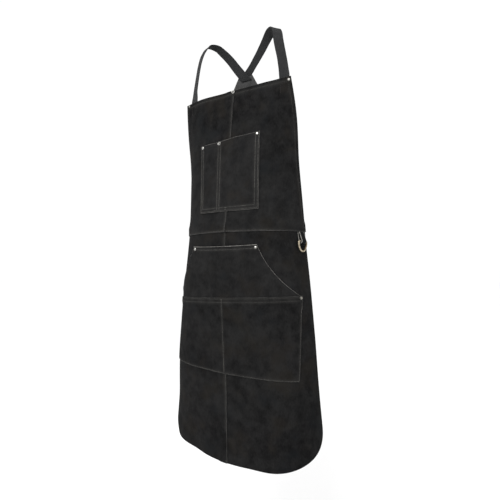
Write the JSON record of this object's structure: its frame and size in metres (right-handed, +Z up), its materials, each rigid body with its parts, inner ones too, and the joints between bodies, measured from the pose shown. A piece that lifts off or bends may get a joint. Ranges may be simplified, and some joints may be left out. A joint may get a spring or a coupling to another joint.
{
  "type": "leather work apron",
  "caption": "Black suede work apron with chest and waist pockets, webbing straps crossed behind on a patch, rivets and a waist ring",
  "frame": {"origin": "midway between the shoulders, level with the tops of the shoulder straps", "axes": "+Z up along the wearer's body, -Y to the wearer's front, +X to the wearer's left"},
  "size_m": [0.4216, 0.176, 1.0953],
  "materials": {
    "suede": "black split suede, mottled nap",
    "webbing": "dark grey woven webbing",
    "grey_leather": "grey leather, matt",
    "nickel": "nickel-plated rivet caps",
    "antique_brass": "antique brass, dulled"
  },
  "bodies": {
    "apron": {"bib_panel_right": "suede", "bib_panel_left": "suede", "skirt_panel_right": "suede", "skirt_panel_left": "suede", "chest_pocket": "suede", "hand_pocket": "suede", "tool_pocket": "suede", "ring_tab": "suede", "shoulder_strap_right": "webbing", "shoulder_strap_left": "webbing", "waist_strap_right": "webbing", "waist_strap_left": "webbing", "back_patch": "grey_leather", "bib_rivet_right": "nickel", "bib_rivet_left": "nickel", "bib_rivet_centre": "nickel", "chest_rivet_right": "nickel", "chest_rivet_divider": "nickel", "chest_rivet_left": "nickel", "pocket_rivet_top_right": "nickel", "pocket_rivet_top_left": "nickel", "pocket_rivet_end_right": "nickel", "pocket_rivet_end_left": "nickel"},
    "ring": {"d_ring": "antique_brass"}
  },
  "joints": [
    {"name": "ring_swing", "type": "hinge", "parent": "apron", "child": "ring", "pos_m": [0.17573, -0.03916, -0.562], "axis": [-0.303, -0.953, 0], "range_deg": [-4, 90]}
  ]
}
